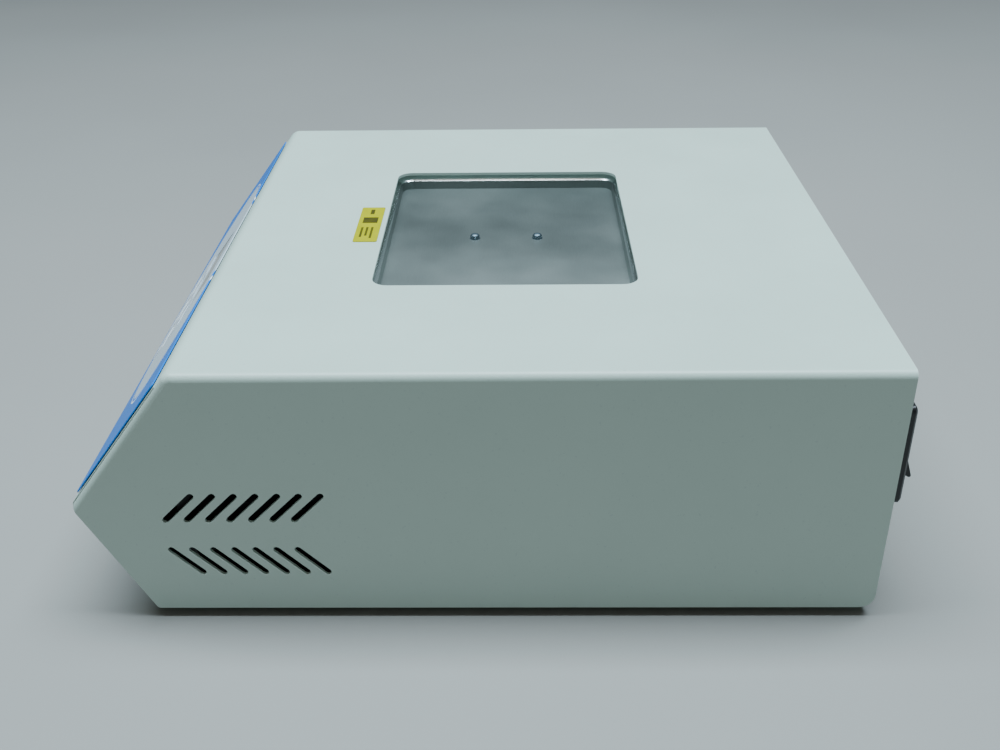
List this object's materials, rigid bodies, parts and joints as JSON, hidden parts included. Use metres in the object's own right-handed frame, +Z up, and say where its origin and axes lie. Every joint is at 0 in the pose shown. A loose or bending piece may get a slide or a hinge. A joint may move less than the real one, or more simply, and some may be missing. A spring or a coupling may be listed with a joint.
{
  "type": "orbital mixer",
  "caption": "Benchtop heated orbital mixer: folded steel case with sloping control panel, side louvres and a recessed tray in the top that orbits to mix a sample block.",
  "frame": {"origin": "middle of the case at table level, under the feet, within 2 mm of the middle of the bounding box", "axes": "+Z up, front with the sloping panel towards -Y, +X to the operator's right"},
  "size_m": [0.248, 0.2809, 0.0983],
  "materials": {
    "light_powder_coat": "fine-textured powder coat, satin",
    "galvanised_sheet": "plain galvanised sheet",
    "bright_steel": "turned, bright",
    "brushed_aluminium": "machined and brushed",
    "black_plastic": "moulded, satin",
    "circuit_board": "green solder mask",
    "black_rubber": "moulded",
    "blue_film": "printed film, satin",
    "smoked_window": "smoked clear window",
    "lcd_glass": "unlit display glass",
    "key_film": "printed film, satin",
    "drawer_plastic": "moulded, satin",
    "fuse_caps": "plated caps",
    "switch_plastic": "moulded, semi-gloss",
    "orange_silicone": "silicone sheet",
    "pale_foam": "closed-cell foam",
    "white_nylon": "moulded",
    "motor_paint": "black enamel",
    "fan_plastic": "moulded, satin",
    "transformer_tape": "polyester tape wrap",
    "brown_insulation": "PVC insulation",
    "red_insulation": "PVC insulation",
    "yellow_vinyl": "printed vinyl"
  },
  "bodies": {
    "case": {"base_chassis": "light_powder_coat", "control_board": "circuit_board", "cover_screw_1": "bright_steel", "cover_screw_2": "bright_steel", "cover_screw_3": "bright_steel", "cover_screw_4": "bright_steel", "display_frame": "black_plastic", "display_glass": "lcd_glass", "display_window": "smoked_window", "fan_bracket": "galvanised_sheet", "fan_frame": "black_plastic", "front_overlay": "blue_film", "inlet_pin_earth": "bright_steel", "inlet_pin_live": "bright_steel", "inlet_pin_neutral": "bright_steel", "key_board": "circuit_board", "mains_lead_live": "brown_insulation", "mains_lead_neutral": "brown_insulation", "mechanism_deck": "galvanised_sheet", "motor_case": "motor_paint", "motor_lead": "red_insulation", "power_board": "circuit_board", "power_heatsink": "brushed_aluminium", "power_inlet": "black_plastic", "power_transformer": "transformer_tape", "rubber_foot_1": "black_rubber", "rubber_foot_2": "black_rubber", "rubber_foot_3": "black_rubber", "rubber_foot_4": "black_rubber", "top_cover": "light_powder_coat", "top_sticker": "yellow_vinyl"},
    "drive_crank": {"crank_hub": "bright_steel", "motor_shaft": "bright_steel", "bearing_inner_race": "bright_steel"},
    "orbit_platform": {"heated_tray": "brushed_aluminium", "heater_pad": "orange_silicone", "insulation_block": "pale_foam", "temperature_probe": "bright_steel", "tray_standoff_1": "white_nylon", "tray_standoff_2": "white_nylon", "tray_standoff_3": "white_nylon", "tray_standoff_4": "white_nylon", "platform_plate": "brushed_aluminium", "bearing_outer_race": "bright_steel"},
    "cooling_fan": {"fan_rotor": "fan_plastic"},
    "switch_rocker": {"power_rocker": "switch_plastic"},
    "fuse_carrier": {"fuse_drawer": "drawer_plastic", "fuse_live": "fuse_caps", "fuse_neutral": "fuse_caps"},
    "idler_1": {"idler_crank_1": "bright_steel"},
    "idler_2": {"idler_crank_2": "bright_steel"},
    "idler_3": {"idler_crank_3": "bright_steel"},
    "idler_4": {"idler_crank_4": "bright_steel"},
    "heat_up_key": {"key_heat_up": "key_film"},
    "heat_down_key": {"key_heat_down": "key_film"},
    "time_up_key": {"key_time_up": "key_film"},
    "time_down_key": {"key_time_down": "key_film"},
    "speed_up_key": {"key_speed_up": "key_film"},
    "speed_down_key": {"key_speed_down": "key_film"}
  },
  "joints": [
    {"name": "drive_spin", "type": "hinge", "parent": "case", "child": "drive_crank", "pos_m": [0, 0.0057, 0.047], "axis": [0, 0, 1], "continuous": true},
    {"name": "platform_orbit", "type": "hinge", "parent": "drive_crank", "child": "orbit_platform", "pos_m": [-0.0015, 0.0057, 0.0595], "axis": [0, 0, 1], "continuous": true},
    {"name": "idler_1_spin", "type": "hinge", "parent": "case", "child": "idler_1", "pos_m": [-0.045, -0.0293, 0.047], "axis": [0, 0, 1], "continuous": true},
    {"name": "idler_2_spin", "type": "hinge", "parent": "case", "child": "idler_2", "pos_m": [0.045, -0.0293, 0.047], "axis": [0, 0, 1], "continuous": true},
    {"name": "idler_3_spin", "type": "hinge", "parent": "case", "child": "idler_3", "pos_m": [0.045, 0.0407, 0.047], "axis": [0, 0, 1], "continuous": true},
    {"name": "idler_4_spin", "type": "hinge", "parent": "case", "child": "idler_4", "pos_m": [-0.045, 0.0407, 0.047], "axis": [0, 0, 1], "continuous": true},
    {"name": "fan_spin", "type": "hinge", "parent": "case", "child": "cooling_fan", "pos_m": [0.112, -0.08, 0.036], "axis": [1, 0, 0], "continuous": true},
    {"name": "power_rocker_tip", "type": "hinge", "parent": "case", "child": "switch_rocker", "pos_m": [0.1065, 0.1362, 0.0624], "axis": [-1, 0, 0], "range_deg": [0, 18]},
    {"name": "fuse_drawer_pull", "type": "slide", "parent": "case", "child": "fuse_carrier", "axis": [0, 1, 0], "range_m": [0, 0.018]},
    {"name": "heat_up_press", "type": "slide", "parent": "case", "child": "heat_up_key", "axis": [0, 0.792, -0.6105], "range_m": [0, 0.0005], "stiffness_N_per_m": 1500, "springref_m": -0.0002},
    {"name": "heat_down_press", "type": "slide", "parent": "case", "child": "heat_down_key", "axis": [0, 0.792, -0.6105], "range_m": [0, 0.0005], "stiffness_N_per_m": 1500, "springref_m": -0.0002},
    {"name": "time_up_press", "type": "slide", "parent": "case", "child": "time_up_key", "axis": [0, 0.792, -0.6105], "range_m": [0, 0.0005], "stiffness_N_per_m": 1500, "springref_m": -0.0002},
    {"name": "time_down_press", "type": "slide", "parent": "case", "child": "time_down_key", "axis": [0, 0.792, -0.6105], "range_m": [0, 0.0005], "stiffness_N_per_m": 1500, "springref_m": -0.0002},
    {"name": "speed_up_press", "type": "slide", "parent": "case", "child": "speed_up_key", "axis": [0, 0.792, -0.6105], "range_m": [0, 0.0005], "stiffness_N_per_m": 1500, "springref_m": -0.0002},
    {"name": "speed_down_press", "type": "slide", "parent": "case", "child": "speed_down_key", "axis": [0, 0.792, -0.6105], "range_m": [0, 0.0005], "stiffness_N_per_m": 1500, "springref_m": -0.0002}
  ],
  "couplings": [
    {"joint": "platform_orbit", "follows": "drive_spin", "ratio": -1},
    {"joint": "idler_1_spin", "follows": "drive_spin", "ratio": 1},
    {"joint": "idler_2_spin", "follows": "drive_spin", "ratio": 1},
    {"joint": "idler_3_spin", "follows": "drive_spin", "ratio": 1},
    {"joint": "idler_4_spin", "follows": "drive_spin", "ratio": 1}
  ]
}
